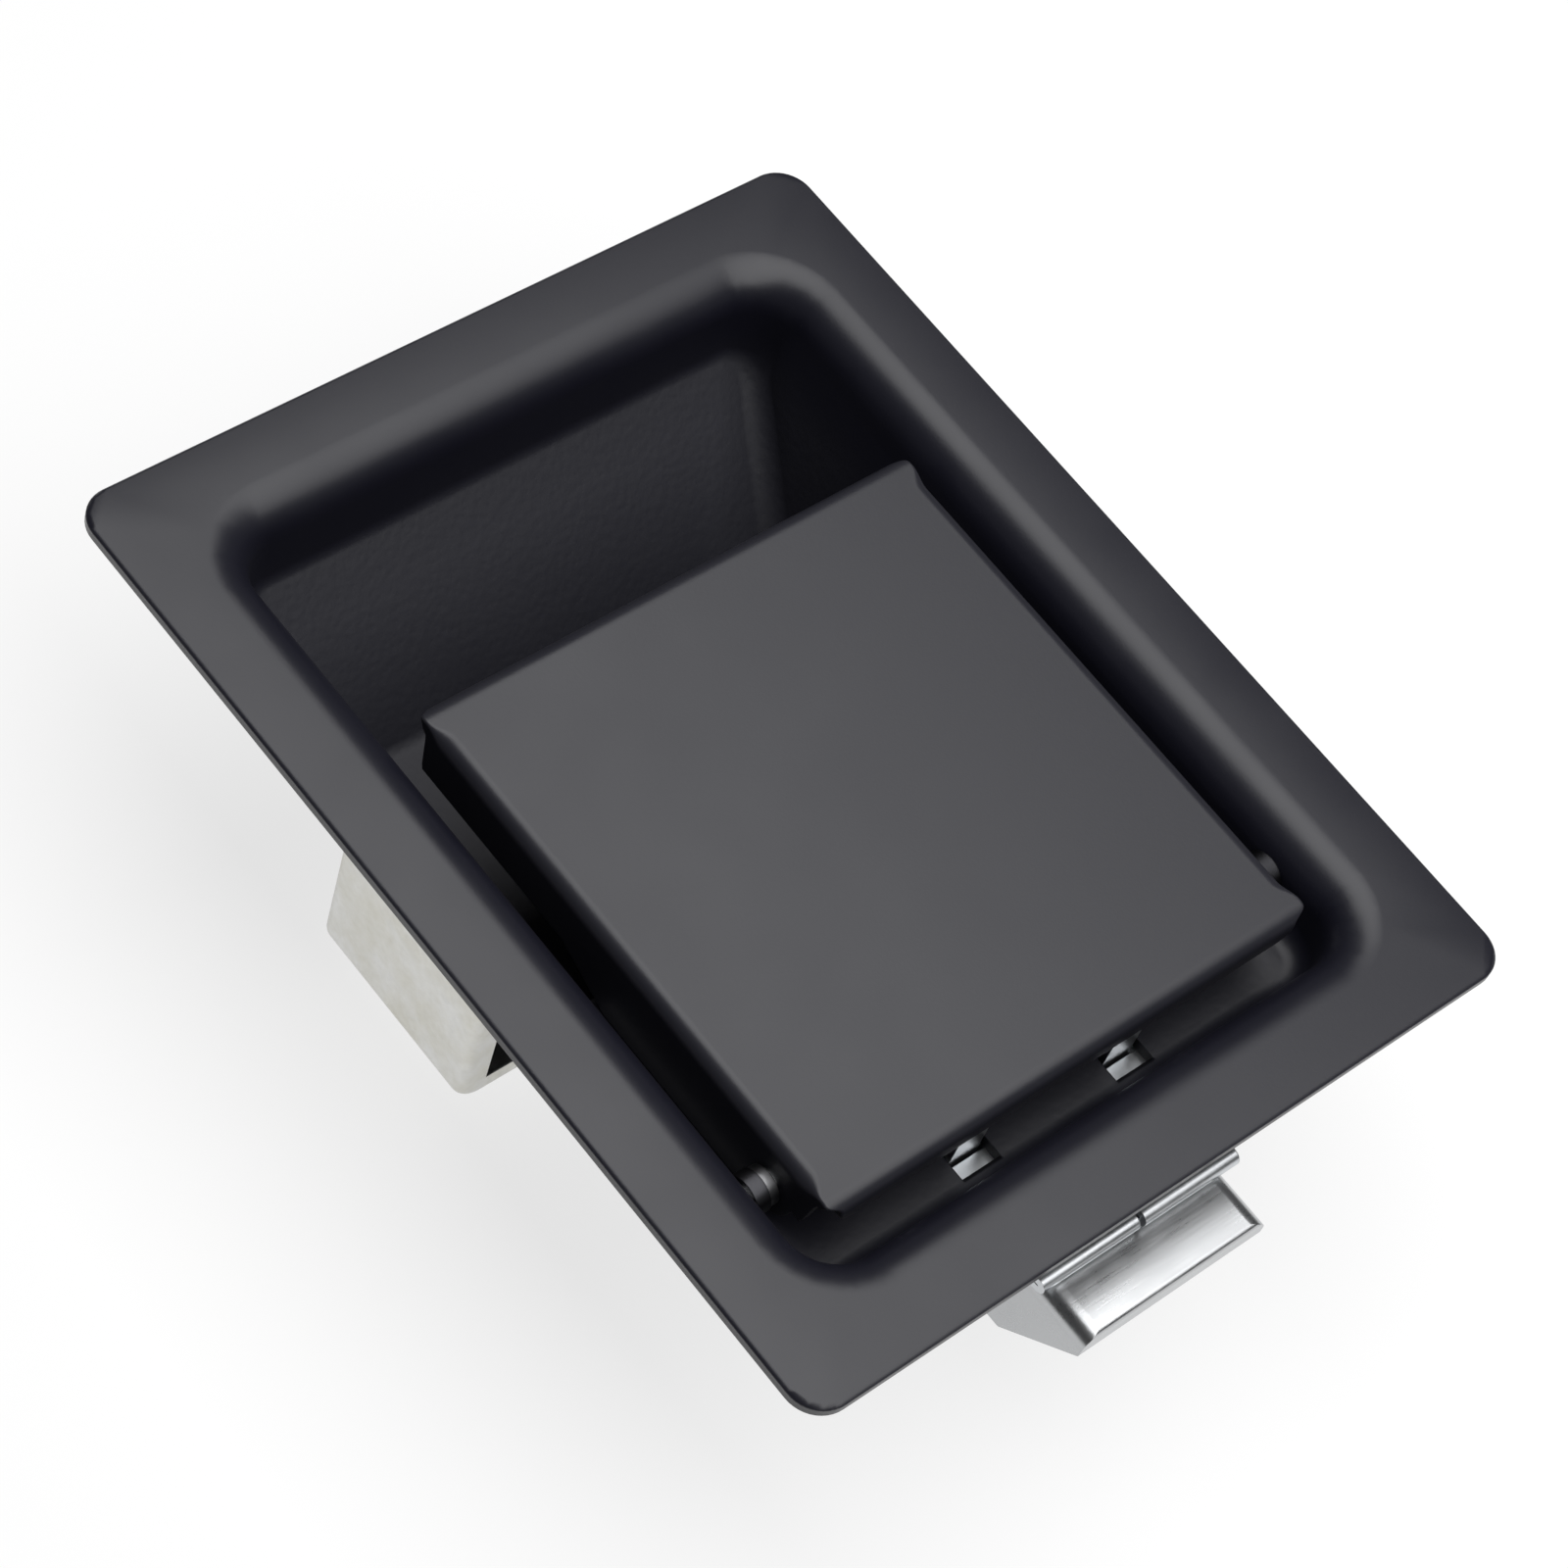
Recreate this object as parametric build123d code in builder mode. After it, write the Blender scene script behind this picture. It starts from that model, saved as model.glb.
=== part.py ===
"""Recessed paddle latch: a drawn pan, a hinged paddle and a spring-loaded slam bolt.

Origin: middle of the flange's back, the plane that lies on the door skin. +Z points out of the
door, +Y from the bolt towards the finger pocket, and X runs along the hinge pin. Millimetres.
"""

from build123d import *
import math
import os

# ------------------------------------------------------------------ pan
pan_sheet = 1.5
flange_rim = 11.6           # flat and lip together, outside the basin on all four sides
flange_corner = 4.0
flange_edge_bevel = 0.5
basin_side_gap = 3.6        # from the paddle's sides to the basin's side walls, at the face
basin_length = 97.3
basin_corner = 5.5
basin_draft = 3.0           # degrees
lip_radius = 5.0            # rolled lip, on the face side
shelf_depth = 10.1          # face to shelf
well_depth = 27.3           # face to the bottom of the well
shelf_length = 39.15        # from the basin's rear end to the start of the well
well_wall_run = 3.0         # how far the well's wall under the paddle leans
slope_depth = 10.9          # face to the top of the sloping end of the well
slope_angle = 44.5
crease_radius = 2.5
shelf_edge_radius = 2.5

# ------------------------------------------------------------------ paddle and its hinge
paddle_width = 65.6
paddle_length = 67.7
paddle_rear_gap = 4.05      # from the basin's rear end, at the face
paddle_proud = 0.3          # above the face of the flange
paddle_sheet = 1.2
paddle_side_bend = 1.5      # outer bend radii
paddle_rear_bend = 2.2
paddle_front_bend = 4.7
paddle_rear_skirt = 3.3     # heights of the folded skirts
paddle_front_skirt = 6.8
bend_end = 0.3              # bends stop this far inside the bend that crosses them
ear_rear_inset = 1.0        # flat corner ears, from the rear and front skirts' faces
ear_front_inset = 2.2
ear_round = 1.0
skirt_gap = 0.3             # side skirts above the shelf
skirt_deep_end = 2.5        # where the side skirts start to rise, before the well
skirt_rise_run = 8.0
pin_setback = 8.0           # from the paddle's rear face
pin_z = -4.1
pin_diameter = 3.2
pin_play = 0.05             # radial, in the paddle's ears
pin_overhang = 1.6          # beyond the pan's side walls
pivot_radius = 3.7          # of the side skirts round the pin
washer_thickness = 1.2
washer_diameter = 4.4
spacer_diameter = 4.8
hinge_side_play = 0.3       # along the pin, on each side
clip_thickness = 0.8
clip_diameter = 4.8
clip_groove = 0.4           # radial depth
clip_stand_off = 0.25       # from the pan's side walls

# ------------------------------------------------------------------ legs inside the paddle
leg_sheet = 1.6
leg_width = 4.1
leg_pitch = 21.3            # between the middles of the two legs
leg_reach = 9.5             # below the shelf
leg_tip_round = 1.2
leg_web_height = 3.6        # under the cover
leg_flange_run = 3.0        # of the two tabs under the cover
leg_flange_gap = 10.0       # between those tabs, for the spring
leg_slot_width = 5.2
leg_slot_length = 9.1
leg_slot_margin = 1.5       # of the slots, behind the paddle's rear face
leg_gap = 0.35              # from a leg to the edge of the guide plate in front of it

# ------------------------------------------------------------------ bolt
bolt_width = 25.6
bolt_height = 11.6
bolt_sheet = 1.5
bolt_length = 38.7
bolt_reach = 5.45           # of its tip past the flange
bolt_tip_height = 3.1
bolt_ramp_run = 8.9
bolt_nose_length = 12.3
bolt_bend = 2.2
bolt_edge_round = 0.6
cheek_gap = 0.35            # between a cheek and the folded ramp
bolt_play = 0.15            # in the guide, on each side
push_gap = 0.3              # from a leg to the yoke that it pushes
yoke_thickness = 3.0
slide_rear_plate = 2.5
slide_insert_setback = 3.7  # from the bolt's tip
spine_width = 14.0
spine_wall = 2.0
slide_rib = 2.0
slide_rib_run = 5.0

# ------------------------------------------------------------------ bolt guide
guide_plate_sheet = 0.9
guide_sheet = 1.2
guide_front_inset = 6.25    # from the flange's end
guide_well_gap = 2.2        # from its rear wall to the start of the well
guide_flange_width = 48.0
tongue_inset = 0.85         # guide plate's hemmed front edge, from the flange's end
tongue_shoulder = 2.5       # of its wide part, behind the guide's front
hem_depth = 5.5
hem_gap = 0.15
hem_split = 0.6
hem_open = 0.25             # the right tab stands this much more open
tongue_overhang = 0.8       # beyond the bolt, on each side
rivet_diameter = 3.0
rivet_head_diameter = 5.5
rivet_head_height = 1.1
rivet_pitch_x = 38.0
rivet_pitch_y = 20.0
rivet_rear_inset = 5.3      # from the guide's rear wall
bolt_rivet_diameter = 2.4
bolt_rivet_length = 5.0
bolt_rivet_inset = 1.8      # from the nose's back
bolt_rivet_drop = 4.2       # below the bolt's top

# ------------------------------------------------------------------ springs
spring_wire = 0.9
spring_coil_diameter = 5.2
spring_pitch_x = 18.4
spring_turns = 6
coil_steps = 10             # straight runs in one turn of a spring
coil_sides = 6              # of the wire's section
rod_diameter = 3.2
rod_length = 12.8
rod_hole_play = 0.5
rod_head_diameter = 4.6
rod_head_height = 1.0
torsion_wire = 1.0
torsion_gap = 0.1           # from the coils to the cover or the shelf, whichever is nearer
torsion_turns = 3.5
torsion_pitch = 1.15
torsion_arm = 4.8

# ------------------------------------------------------------------ mounting bracket and its stud
bracket_setback = 16.8      # of its middle, from the start of the well
bracket_length = 24.0
bracket_base = 3.4
bracket_arm = 3.2
bracket_gap = 1.3           # from the pan's side walls
bracket_base_round = 3.2
bracket_edge_round = 1.4
grip = 3.0                  # door skin between the bracket and the flange
stud_diameter = 6.0
stud_hole_play = 0.3
stud_weld_diameter = 9.0
stud_weld_height = 0.9
stud_end_overhang = 1.0
stud_chamfer = 0.8
bracket_recess_play = 0.3   # round the stud's weld flange
mount_washer_diameter = 12.0
mount_washer_thickness = 1.2
nut_width = 10.0            # across the flats
nut_height = 4.0
nut_chamfer = 0.6
thread_play = 0.02

# ------------------------------------------------------------------ places that follow
basin_width = paddle_width + 2 * basin_side_gap     # between the side walls, at the face
flange_width = basin_width + 2 * flange_rim
flange_length = basin_length + 2 * flange_rim
well_start_y = shelf_length - basin_length / 2
bracket_y = well_start_y + bracket_setback
paddle_rear_y = paddle_rear_gap - basin_length / 2
paddle_front_y = paddle_rear_y + paddle_length
pin_y = paddle_rear_y + pin_setback
leg_slot_front_y = paddle_rear_y - leg_slot_margin
leg_slot_rear_y = leg_slot_front_y + leg_slot_length
bolt_tip_y = -flange_length / 2 - bolt_reach
bolt_ramp_foot_y = bolt_tip_y + bolt_ramp_run
bolt_nose_back_y = bolt_tip_y + bolt_nose_length
slide_insert_front_y = bolt_tip_y + slide_insert_setback
slide_rear_y = bolt_tip_y + bolt_length
guide_front_y = guide_front_inset - flange_length / 2
guide_rear_y = well_start_y - guide_well_gap
rivet_rows_y = (guide_rear_y - rivet_rear_inset - rivet_pitch_y, guide_rear_y - rivet_rear_inset)
tongue_front_y = tongue_inset - flange_length / 2
tongue_back_y = guide_front_y + tongue_shoulder
face_z = pan_sheet
shelf_z = face_z - shelf_depth
shelf_back_z = shelf_z - pan_sheet
well_z = face_z - well_depth
well_back_z = well_z - pan_sheet
paddle_top = face_z + paddle_proud
paddle_under = paddle_top - paddle_sheet
plate_under = shelf_back_z - guide_plate_sheet
guide_under = plate_under - guide_sheet
bolt_top = plate_under - bolt_play
bolt_bottom = bolt_top - bolt_height
guide_floor = bolt_bottom - bolt_play
guide_half = bolt_width / 2 + bolt_play
leg_front_y = paddle_rear_y + paddle_sheet
leg_rear_y = leg_front_y + leg_sheet
yoke_front_y = leg_rear_y + push_gap
spring_z = (bolt_top + bolt_bottom) / 2
bracket_under = well_back_z - bracket_base
pin_radius = pin_diameter / 2
leg_tip_z = shelf_z - leg_reach
leg_web_bottom_z = paddle_under - leg_web_height


def wall_x(z, outside=0.0):
    """Half the basin's width at height z, on its inside or as far outside it as asked."""
    return basin_width / 2 + outside - (face_z - z) * math.tan(math.radians(basin_draft))


def lip_back_x(z):
    """Half the pan's outside width at height z, just behind the flange, where its lip curves out."""
    radius = lip_radius - pan_sheet
    return basin_width / 2 + lip_radius - math.sqrt(radius ** 2 - (radius + z) ** 2)


def basin_form(grow):
    """The basin as a solid: its cavity for grow 0, its outside for grow pan_sheet."""
    draft_tan = math.tan(math.radians(basin_draft))
    slope_tan = math.tan(math.radians(slope_angle))
    end_y = basin_length / 2 + pan_sheet * 2
    slope_top_y = basin_length / 2 - slope_depth * draft_tan
    foot_y = slope_top_y - (well_depth - slope_depth) / slope_tan
    slope_end_z = face_z - slope_depth + (end_y - slope_top_y) * slope_tan
    with BuildSketch(Plane.YZ) as side:
        with BuildLine():
            Polyline(
                (-end_y, face_z + pan_sheet), (-end_y, shelf_z), (well_start_y, shelf_z),
                (well_start_y + well_wall_run, well_z), (foot_y, well_z), (end_y, slope_end_z),
                (end_y, face_z + pan_sheet), close=True,
            )
        make_face()
        if grow:
            offset(amount=grow, kind=Kind.INTERSECTION)
    with BuildPart() as form:
        with BuildSketch(Plane.XY.offset(face_z)):
            RectangleRounded(basin_width + 2 * grow, basin_length + 2 * grow, basin_corner + grow)
        extrude(amount=-(well_depth + 2 * pan_sheet), taper=basin_draft)
        extrude(side.sketch, amount=basin_width, both=True, mode=Mode.INTERSECT)
        buried = form.edges().filter_by(lambda e: max(v.Z for v in e.vertices()) < face_z - 1)
        step = buried.filter_by(Axis.X).filter_by_position(Axis.Y, -basin_length / 4, basin_length / 4)
        fillet(step.group_by(Axis.Z)[-1], radius=shelf_edge_radius - grow)
        buried = form.edges().filter_by(lambda e: max(v.Z for v in e.vertices()) < face_z - 1)
        fillet([e for e in buried if is_outer_crease(e)], radius=crease_radius + grow)
    return form.part


def is_outer_crease(edge):
    """True for the creases along the basin's walls and floor, not for the shelf's rounded edge."""
    centre = edge.center()
    on_wall = abs(centre.X) > basin_width / 4 or abs(centre.Y) > basin_length / 4
    return on_wall or centre.Z < (shelf_z + well_z) / 2


def leg_slots(sketch_plane, front_y, extra):
    """A pair of rectangles for the legs to pass through, from front_y back to the slots' end."""
    with BuildSketch(sketch_plane) as slots:
        with Locations((0, (front_y + leg_slot_rear_y) / 2)):
            with GridLocations(leg_pitch, 0, 2, 1):
                Rectangle(leg_slot_width + extra, leg_slot_rear_y - front_y)
    return slots.sketch


def write(part, name):
    """Labels a finished piece and writes it to its own file."""
    part.label = name
    export_step(part, f"parts/{name}.step")


os.makedirs("parts", exist_ok=True)

# ------------------------------------------------------------------ pan: flange, rolled lip and basin
with BuildPart() as pan:
    with BuildSketch():
        RectangleRounded(flange_width, flange_length, flange_corner)
    extrude(amount=pan_sheet)
    rim = pan.faces().sort_by(Axis.Z)[-1]
    chamfer(rim.outer_wire().edges(), length=flange_edge_bevel)
    add(basin_form(pan_sheet))
    back = pan.faces().filter_by(Axis.Z).filter_by_position(Axis.Z, -0.01, 0.01)[0]
    fillet(back.inner_wires()[0].edges(), radius=lip_radius - pan_sheet)
    add(basin_form(0), mode=Mode.SUBTRACT)
    rim = pan.faces().sort_by(Axis.Z)[-1]
    fillet(rim.inner_wires()[0].edges(), radius=lip_radius)
    extrude(leg_slots(Plane.XY.offset(shelf_z), leg_slot_front_y, 0), amount=-2 * pan_sheet,
            mode=Mode.SUBTRACT)
    with BuildSketch(Plane.YZ):
        with Locations((pin_y, pin_z)):
            Circle(pin_radius)
    extrude(amount=flange_width, both=True, mode=Mode.SUBTRACT)
    with BuildSketch(Plane.XY.offset(shelf_z)):
        for rivet_y in rivet_rows_y:
            with Locations((0, rivet_y)):
                with GridLocations(rivet_pitch_x, 0, 2, 1):
                    Circle(rivet_diameter / 2)
    extrude(amount=-2 * pan_sheet, mode=Mode.SUBTRACT)
write(pan.part, "pan")


# ------------------------------------------------------------------ paddle: a cover with folded skirts
def paddle_block(inset):
    """The paddle's outside for inset 0, or the hollow under its cover for inset paddle_sheet."""
    middle_y = (paddle_front_y + paddle_rear_y) / 2
    middle_z = (paddle_top - inset + shelf_z) / 2
    height = paddle_top - inset - shelf_z
    with BuildPart() as block:
        with BuildSketch(Plane.XZ.offset(inset - paddle_front_y)) as across:
            with Locations((0, middle_z)):
                Rectangle(paddle_width - 2 * inset, height)
            fillet(across.vertices().group_by(Axis.Y)[-1], radius=paddle_side_bend - inset)
        extrude(amount=paddle_front_y - paddle_rear_y - 2 * inset)
        with BuildSketch(Plane.YZ) as along:
            with Locations((middle_y, middle_z)):
                Rectangle(paddle_front_y - paddle_rear_y - 2 * inset, height)
            top = along.vertices().group_by(Axis.Y)[-1]
            fillet(top.sort_by(Axis.X)[0], radius=paddle_rear_bend - inset)
            top = along.vertices().group_by(Axis.Y)[-1]
            fillet(top.sort_by(Axis.X)[-1], radius=paddle_front_bend - inset)
        extrude(amount=paddle_width, both=True, mode=Mode.INTERSECT)
    return block.part


rear_skirt_z = paddle_top - paddle_rear_skirt
front_skirt_z = paddle_top - paddle_front_skirt
side_skirt_z = shelf_z + skirt_gap
skirt_deep_end_y = well_start_y - skirt_deep_end
ear_rear_y = paddle_rear_y + ear_rear_inset
ear_front_y = paddle_front_y - ear_front_inset
with BuildPart() as paddle:
    add(paddle_block(0))
    add(paddle_block(paddle_sheet), mode=Mode.SUBTRACT)
    with BuildSketch(Plane.YZ) as below_skirts:
        with BuildLine():
            Polyline(
                (paddle_rear_y - 1, shelf_z - 1), (paddle_rear_y - 1, rear_skirt_z),
                (pin_y - pivot_radius, rear_skirt_z), (pin_y, pin_z), (pin_y, side_skirt_z),
                (skirt_deep_end_y, side_skirt_z), (skirt_deep_end_y + skirt_rise_run, front_skirt_z),
                (paddle_front_y + 1, front_skirt_z), (paddle_front_y + 1, shelf_z - 1), close=True,
            )
        make_face()
        with Locations((pin_y, pin_z)):
            Circle(pivot_radius, mode=Mode.SUBTRACT)
    extrude(amount=paddle_width, both=True, mode=Mode.SUBTRACT)
    with BuildSketch(Plane.XY.offset(paddle_top)) as corners:
        for corner_y, bend in ((paddle_rear_y, paddle_rear_bend), (paddle_front_y, paddle_front_bend)):
            with Locations((0, corner_y)):
                with GridLocations(paddle_width, 0, 2, 1):
                    Rectangle(2 * (paddle_side_bend + bend_end), 2 * (bend + bend_end))
    extrude(amount=-(paddle_top - shelf_z), mode=Mode.SUBTRACT)
    with BuildSketch(Plane.XY.offset(paddle_top)):
        with Locations((0, (ear_rear_y + ear_front_y) / 2)):
            RectangleRounded(paddle_width, ear_front_y - ear_rear_y, ear_round)
        add(corners.sketch, mode=Mode.INTERSECT)
    extrude(amount=-paddle_sheet)
    with BuildSketch(Plane.YZ):
        with Locations((pin_y, pin_z)):
            Circle(pin_radius + pin_play)
    extrude(amount=paddle_width, both=True, mode=Mode.SUBTRACT)
write(paddle.part, "paddle")

# ------------------------------------------------------------------ legs welded inside the paddle
leg_web_half = (leg_pitch + leg_width) / 2
with BuildPart() as paddle_legs:
    with BuildSketch(Plane.XZ.offset(-leg_front_y)) as leg_plate:
        with BuildLine():
            Polyline(
                (-leg_web_half, paddle_under), (leg_web_half, paddle_under),
                (leg_web_half, leg_tip_z), (leg_web_half - leg_width, leg_tip_z),
                (leg_web_half - leg_width, leg_web_bottom_z),
                (leg_width - leg_web_half, leg_web_bottom_z), (leg_width - leg_web_half, leg_tip_z),
                (-leg_web_half, leg_tip_z), close=True,
            )
        make_face()
    extrude(amount=-leg_sheet)
    tips = paddle_legs.edges().filter_by(Axis.Y).group_by(Axis.Z)[0]
    fillet(tips, radius=leg_tip_round)
    with BuildSketch(Plane.XY.offset(paddle_under)):
        with Locations((0, leg_rear_y + leg_flange_run / 2)):
            Rectangle(2 * leg_web_half, leg_flange_run)
            Rectangle(leg_flange_gap, leg_flange_run, mode=Mode.SUBTRACT)
    extrude(amount=-leg_sheet)
    corner = paddle_legs.edges().filter_by(Axis.X).group_by(Axis.Z)[-1].sort_by(Axis.Y)[0]
    fillet(corner, radius=paddle_rear_bend - paddle_sheet + 0.2)
write(paddle_legs.part, "paddle_legs")

# ------------------------------------------------------------------ hinge pin, spacers, washers and clips
wall_in_x = wall_x(pin_z - spacer_diameter / 2)
wall_out_x = lip_back_x(pin_z + clip_diameter / 2)
pin_end_x = wall_out_x + pin_overhang
washer_x = paddle_width / 2 + hinge_side_play
spacer_x = washer_x + washer_thickness
clip_x = wall_out_x + clip_stand_off


def on_both_ends(sketch, inner_x, outer_x):
    """Extrudes a sketch drawn on Plane.YZ between two distances from the middle, on both sides."""
    for side in (1, -1):
        plane_faces = [Location((side * inner_x, 0, 0)) * face for face in sketch.faces()]
        for face in plane_faces:
            extrude(face, amount=outer_x - inner_x, dir=(side, 0, 0))


with BuildPart() as hinge_pin:
    with BuildSketch(Plane.YZ):
        with Locations((pin_y, pin_z)):
            Circle(pin_radius)
    extrude(amount=pin_end_x, both=True)
    chamfer(hinge_pin.edges(), length=clip_groove)
    with BuildSketch(Plane.YZ) as groove:
        with Locations((pin_y, pin_z)):
            Circle(pin_radius + clip_groove)
            Circle(pin_radius - clip_groove, mode=Mode.SUBTRACT)
    with BuildPart(mode=Mode.PRIVATE) as grooves:
        on_both_ends(groove.sketch, clip_x, clip_x + clip_thickness)
    add(grooves.part, mode=Mode.SUBTRACT)
write(hinge_pin.part, "hinge_pin")

with BuildPart() as hinge_spacers:
    with BuildSketch(Plane.YZ) as ring:
        with Locations((pin_y, pin_z)):
            Circle(spacer_diameter / 2)
            Circle(pin_radius, mode=Mode.SUBTRACT)
    on_both_ends(ring.sketch, spacer_x, wall_in_x)
write(hinge_spacers.part, "hinge_spacers")

with BuildPart() as hinge_washers:
    with BuildSketch(Plane.YZ) as ring:
        with Locations((pin_y, pin_z)):
            Circle(washer_diameter / 2)
            Circle(pin_radius, mode=Mode.SUBTRACT)
    on_both_ends(ring.sketch, washer_x, spacer_x)
write(hinge_washers.part, "hinge_washers")

with BuildPart() as hinge_clips:
    with BuildSketch(Plane.YZ) as clip:
        with Locations((pin_y, pin_z)):
            Circle(clip_diameter / 2)
            Circle(pin_radius - clip_groove, mode=Mode.SUBTRACT)
        with Locations((pin_y, pin_z - clip_diameter / 2)):
            Rectangle(2 * (pin_radius - clip_groove), clip_diameter, mode=Mode.SUBTRACT)
    on_both_ends(clip.sketch, clip_x, clip_x + clip_thickness)
write(hinge_clips.part, "hinge_clips")

# ------------------------------------------------------------------ paddle spring, wound round the pin
def coil_points(length, radius, turns):
    """Points along a helix about +Z, in short straight runs, from height 0 to length."""
    steps = round(turns * coil_steps)
    angle = 2 * math.pi / coil_steps
    return [Vector(radius * math.cos(i * angle), radius * math.sin(i * angle), length * i / steps)
            for i in range(steps + 1)]


def wound_wire(points, wire):
    """A many-sided wire swept along straight runs, with mitred joints."""
    with BuildPart(mode=Mode.PRIVATE) as wound:
        with BuildLine() as path:
            Polyline(*points)
        with BuildSketch(Plane(path.line @ 0, z_dir=path.line % 0)):
            RegularPolygon(wire / 2, coil_sides)
        sweep(path=path.line, transition=Transition.RIGHT)
    return wound.part


torsion_room = min(paddle_under - pin_z, pin_z - shelf_z)
torsion_radius = torsion_room - torsion_gap - torsion_wire / 2
torsion_length = torsion_turns * torsion_pitch
round_pin = Plane((torsion_length / 2, pin_y, pin_z), x_dir=(0, 0, 1), z_dir=(-1, 0, 0))
torsion_coil = coil_points(torsion_length, torsion_radius, torsion_turns)
torsion_path = [round_pin.from_local_coords(p) for p in torsion_coil]
arm = Vector(0, -torsion_arm, 0)
torsion_path = [torsion_path[0] + arm, *torsion_path, torsion_path[-1] + arm]
write(wound_wire(torsion_path, torsion_wire), "paddle_spring")

# ------------------------------------------------------------------ guide plate, with its hemmed tongue
tongue_half = bolt_width / 2 + tongue_overhang
hem_bend = guide_plate_sheet + hem_gap / 2
with BuildPart() as guide_plate:
    with BuildSketch(Plane.XY.offset(shelf_back_z)):
        with Locations((0, (tongue_back_y + guide_rear_y) / 2)):
            Rectangle(guide_flange_width, guide_rear_y - tongue_back_y)
        with Locations((0, (tongue_front_y + hem_bend + guide_rear_y) / 2)):
            Rectangle(2 * tongue_half, guide_rear_y - tongue_front_y - hem_bend)
        for rivet_y in rivet_rows_y:
            with Locations((0, rivet_y)):
                with GridLocations(rivet_pitch_x, 0, 2, 1):
                    Circle(rivet_diameter / 2, mode=Mode.SUBTRACT)
    extrude(amount=-guide_plate_sheet)
    extrude(leg_slots(Plane.XY.offset(shelf_back_z), leg_front_y - leg_gap, 0),
            amount=-guide_plate_sheet, mode=Mode.SUBTRACT)
    for side, opening in ((-1, 0), (1, hem_open)):
        bend = hem_bend + opening / 2
        with BuildSketch(Plane.YZ.offset(side * hem_split / 2)) as hem:
            with BuildLine():
                Line((tongue_front_y + hem_bend, plate_under),
                     (tongue_front_y + hem_bend, shelf_back_z))
                ThreePointArc((tongue_front_y + hem_bend, shelf_back_z),
                              (tongue_front_y + hem_bend - (bend - guide_plate_sheet), plate_under + bend),
                              (tongue_front_y + hem_bend, plate_under + 2 * bend - guide_plate_sheet))
                Line((tongue_front_y + hem_bend, plate_under + 2 * bend - guide_plate_sheet),
                     (tongue_front_y + hem_depth, plate_under + 2 * bend - guide_plate_sheet))
                Line((tongue_front_y + hem_depth, plate_under + 2 * bend - guide_plate_sheet),
                     (tongue_front_y + hem_depth, plate_under + 2 * bend))
                Line((tongue_front_y + hem_depth, plate_under + 2 * bend),
                     (tongue_front_y + hem_bend, plate_under + 2 * bend))
                ThreePointArc((tongue_front_y + hem_bend, plate_under + 2 * bend),
                              (tongue_front_y + hem_bend - bend, plate_under + bend),
                              (tongue_front_y + hem_bend, plate_under))
            make_face()
        extrude(amount=side * (tongue_half - hem_split / 2))
write(guide_plate.part, "guide_plate")

# ------------------------------------------------------------------ bolt guide: channel with a rear wall
guide_outer = guide_half + guide_sheet
with BuildPart() as bolt_guide:
    with BuildSketch(Plane.XZ.offset(-guide_front_y)):
        with BuildLine():
            Polyline(
                (-guide_flange_width / 2, plate_under), (guide_flange_width / 2, plate_under),
                (guide_flange_width / 2, guide_under),
                (guide_outer, guide_under), (guide_outer, guide_floor - guide_sheet),
                (-guide_outer, guide_floor - guide_sheet), (-guide_outer, guide_under),
                (-guide_flange_width / 2, guide_under), close=True,
            )
        make_face()
    extrude(amount=guide_front_y - guide_rear_y)
    bends = bolt_guide.edges().filter_by(Axis.Y).filter_by_position(Axis.X, -guide_outer, guide_outer)
    fillet(bends, radius=guide_sheet)
    with BuildSketch(Plane.XZ.offset(-guide_front_y)):
        with Locations((0, (plate_under + guide_floor) / 2)):
            Rectangle(2 * guide_half, plate_under - guide_floor)
    extrude(amount=guide_front_y - guide_rear_y + guide_sheet, mode=Mode.SUBTRACT)
    with BuildSketch(Plane.XY.offset(plate_under)):
        for rivet_y in rivet_rows_y:
            with Locations((0, rivet_y)):
                with GridLocations(rivet_pitch_x, 0, 2, 1):
                    Circle(rivet_diameter / 2)
    extrude(amount=-guide_sheet, mode=Mode.SUBTRACT)
    with BuildSketch(Plane.XZ.offset(-guide_rear_y)):
        with Locations((0, spring_z)):
            with GridLocations(spring_pitch_x, 0, 2, 1):
                Circle(rod_diameter / 2)
    extrude(amount=guide_sheet, mode=Mode.SUBTRACT)
write(bolt_guide.part, "bolt_guide")

# ------------------------------------------------------------------ rivets through shelf, plate and guide
with BuildPart() as guide_rivets:
    for rivet_y in rivet_rows_y:
        with BuildSketch(Plane.XY.offset(shelf_z)):
            with Locations((0, rivet_y)):
                with GridLocations(rivet_pitch_x, 0, 2, 1):
                    Circle(rivet_diameter / 2)
        extrude(amount=guide_under - shelf_z)
        for head_z, height in ((shelf_z, rivet_head_height), (guide_under, -rivet_head_height)):
            with BuildSketch(Plane.XY.offset(head_z)):
                with Locations((0, rivet_y)):
                    with GridLocations(rivet_pitch_x, 0, 2, 1):
                        Circle(rivet_head_diameter / 2)
            extrude(amount=height)
    chamfer(guide_rivets.edges().group_by(Axis.Z)[-1], length=rivet_head_height / 2)
write(guide_rivets.part, "guide_rivets")


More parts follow.
